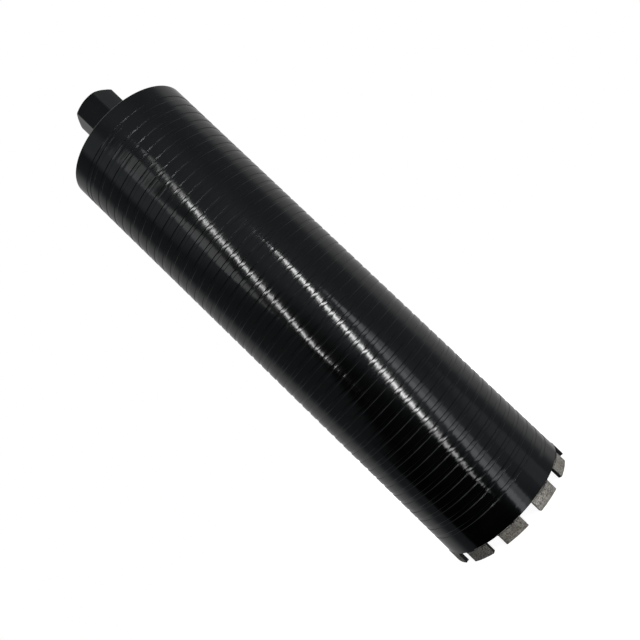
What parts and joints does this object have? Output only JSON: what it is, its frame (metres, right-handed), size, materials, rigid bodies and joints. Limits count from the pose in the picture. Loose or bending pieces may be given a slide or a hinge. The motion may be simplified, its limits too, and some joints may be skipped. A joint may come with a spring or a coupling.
{
  "type": "diamond core bit",
  "caption": "Long black steel core bit: a spirally grooved tube with a threaded hexagon hub at one end and a crown of diamond segments at the other.",
  "frame": {"origin": "on the bit's axis, in the plane of the segment tips that it stands on", "axes": "+Z along the axis from the segments to the hub; the bit stands on its crown with its hub up"},
  "size_m": [0.1319, 0.132, 0.533],
  "materials": {
    "black_paint": "semi-gloss black paint on steel, with a little orange peel",
    "sintered_segment": "rough grey sintered metal matrix with embedded diamond grit"
  },
  "bodies": {
    "root": {"barrel_tube": "black_paint", "end_plate": "black_paint", "hex_hub": "black_paint", "segment_01": "sintered_segment", "segment_02": "sintered_segment", "segment_03": "sintered_segment", "segment_04": "sintered_segment", "segment_05": "sintered_segment", "segment_06": "sintered_segment", "segment_07": "sintered_segment", "segment_08": "sintered_segment", "segment_09": "sintered_segment", "segment_10": "sintered_segment", "segment_11": "sintered_segment"}
  },
  "joints": []
}
